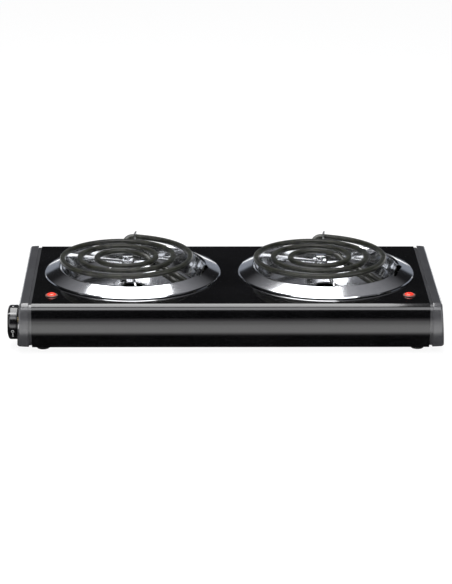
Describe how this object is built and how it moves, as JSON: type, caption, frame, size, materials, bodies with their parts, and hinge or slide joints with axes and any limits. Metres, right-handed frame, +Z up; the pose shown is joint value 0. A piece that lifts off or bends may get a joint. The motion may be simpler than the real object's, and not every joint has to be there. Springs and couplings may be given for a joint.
{
  "type": "hot plate burner",
  "caption": "Portable electric coil hot plate: black sheet housing, moulded end caps, chrome drip pans, tilting coil elements and a side thermostat dial.",
  "frame": {"origin": "on the surface the feet stand on, under the middle of the whole object's box", "axes": "+X to the right, along the housing; +Y to the back; +Z up"},
  "size_m": [0.5152, 0.2552, 0.0861],
  "materials": {
    "black_enamel": "gloss",
    "cap_plastic": "satin",
    "dial_plastic": "gloss",
    "pan_chrome": "polished",
    "coil_sheath": "satin",
    "support_chrome": "polished",
    "zinc_steel": "satin",
    "foot_rubber": "matte",
    "steatite": "matte",
    "red_lens": "gloss",
    "pale_nylon": "satin",
    "neon_glass": "gloss",
    "phenolic": "satin",
    "brass": "satin",
    "glass_sleeving": "matte"
  },
  "bodies": {
    "housing": {"body_shell": "black_enamel", "left_end_cap": "cap_plastic", "right_end_cap": "cap_plastic", "base_plate": "zinc_steel", "thermostat_body": "phenolic", "bush_nut": "brass", "cord_gland": "cap_plastic", "supply_connector": "steatite", "foot_front_left": "foot_rubber", "foot_screw_front_left": "zinc_steel", "foot_front_right": "foot_rubber", "foot_screw_front_right": "zinc_steel", "foot_rear_left": "foot_rubber", "foot_screw_rear_left": "zinc_steel", "foot_rear_right": "foot_rubber", "foot_screw_rear_right": "zinc_steel", "left_drip_pan": "pan_chrome", "left_hinge_stand": "zinc_steel", "left_stand_screw": "zinc_steel", "left_lamp_bezel": "pale_nylon", "left_lamp_lens": "red_lens", "left_neon_lamp": "neon_glass", "left_live_lead": "glass_sleeving", "left_neutral_lead": "glass_sleeving", "right_drip_pan": "pan_chrome", "right_hinge_stand": "zinc_steel", "right_stand_screw": "zinc_steel", "right_lamp_bezel": "pale_nylon", "right_lamp_lens": "red_lens", "right_neon_lamp": "neon_glass", "right_live_lead": "glass_sleeving", "right_neutral_lead": "glass_sleeving", "supply_live_lead": "glass_sleeving"},
    "left_element": {"left_heating_coil": "coil_sheath", "left_coil_end_clip": "zinc_steel", "left_coil_support": "support_chrome", "left_hub_cap": "support_chrome", "left_terminal_block": "steatite"},
    "right_element": {"right_heating_coil": "coil_sheath", "right_coil_end_clip": "zinc_steel", "right_coil_support": "support_chrome", "right_hub_cap": "support_chrome", "right_terminal_block": "steatite"},
    "control": {"dial": "dial_plastic", "thermostat_shaft": "brass"}
  },
  "joints": [
    {"name": "left_element_tilt", "type": "hinge", "parent": "housing", "child": "left_element", "pos_m": [-0.01565, -0.02092, 0.05], "axis": [0.2588, 0.9659, 0], "range_deg": [0, 20]},
    {"name": "right_element_tilt", "type": "hinge", "parent": "housing", "child": "right_element", "pos_m": [0.21955, -0.02092, 0.05], "axis": [0.2588, 0.9659, 0], "range_deg": [0, 20]},
    {"name": "dial_turn", "type": "hinge", "parent": "housing", "child": "control", "pos_m": [-0.24868, -0.0908, 0.03], "axis": [1, 0, 0], "range_deg": [0, 280]}
  ]
}
